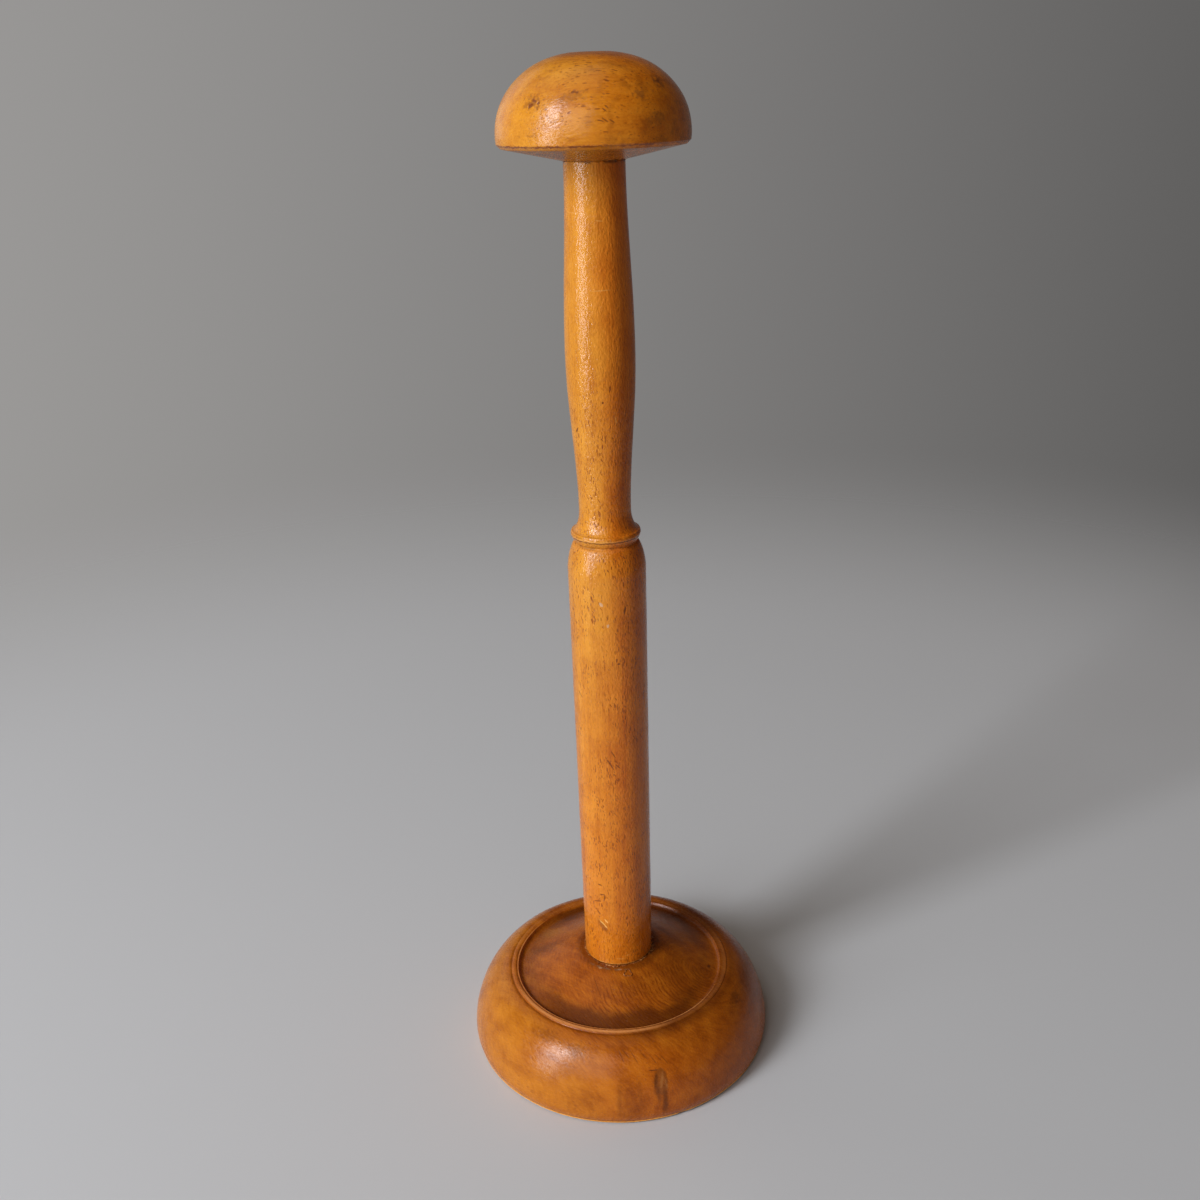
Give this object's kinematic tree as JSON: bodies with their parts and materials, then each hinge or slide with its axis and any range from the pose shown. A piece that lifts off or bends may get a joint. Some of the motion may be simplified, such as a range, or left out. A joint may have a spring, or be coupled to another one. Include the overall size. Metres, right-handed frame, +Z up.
{
  "type": "hat stand",
  "caption": "Tabletop hat stand turned from wood: a heavy round base with a raised rim, a baluster column and a mushroom head that holds a hat by its crown.",
  "frame": {"origin": "middle of the base's flat underside", "axes": "+Z up along the column, the axis that every piece is turned about"},
  "size_m": [0.12, 0.12, 0.3714],
  "materials": {
    "base_wood": "amber varnish, worn satin, over red-brown stained beech, darker in the dish",
    "column_wood": "amber varnish, worn satin, over honey-coloured beech with dark ray flecks",
    "head_wood": "amber varnish, polished by handling, over golden beech with dark stains",
    "old_glue": "dark dried glue and dirt"
  },
  "bodies": {
    "root": {"base": "base_wood", "column": "column_wood", "head": "head_wood", "foot_glue_ring": "old_glue", "head_glue_ring": "old_glue"}
  },
  "joints": []
}
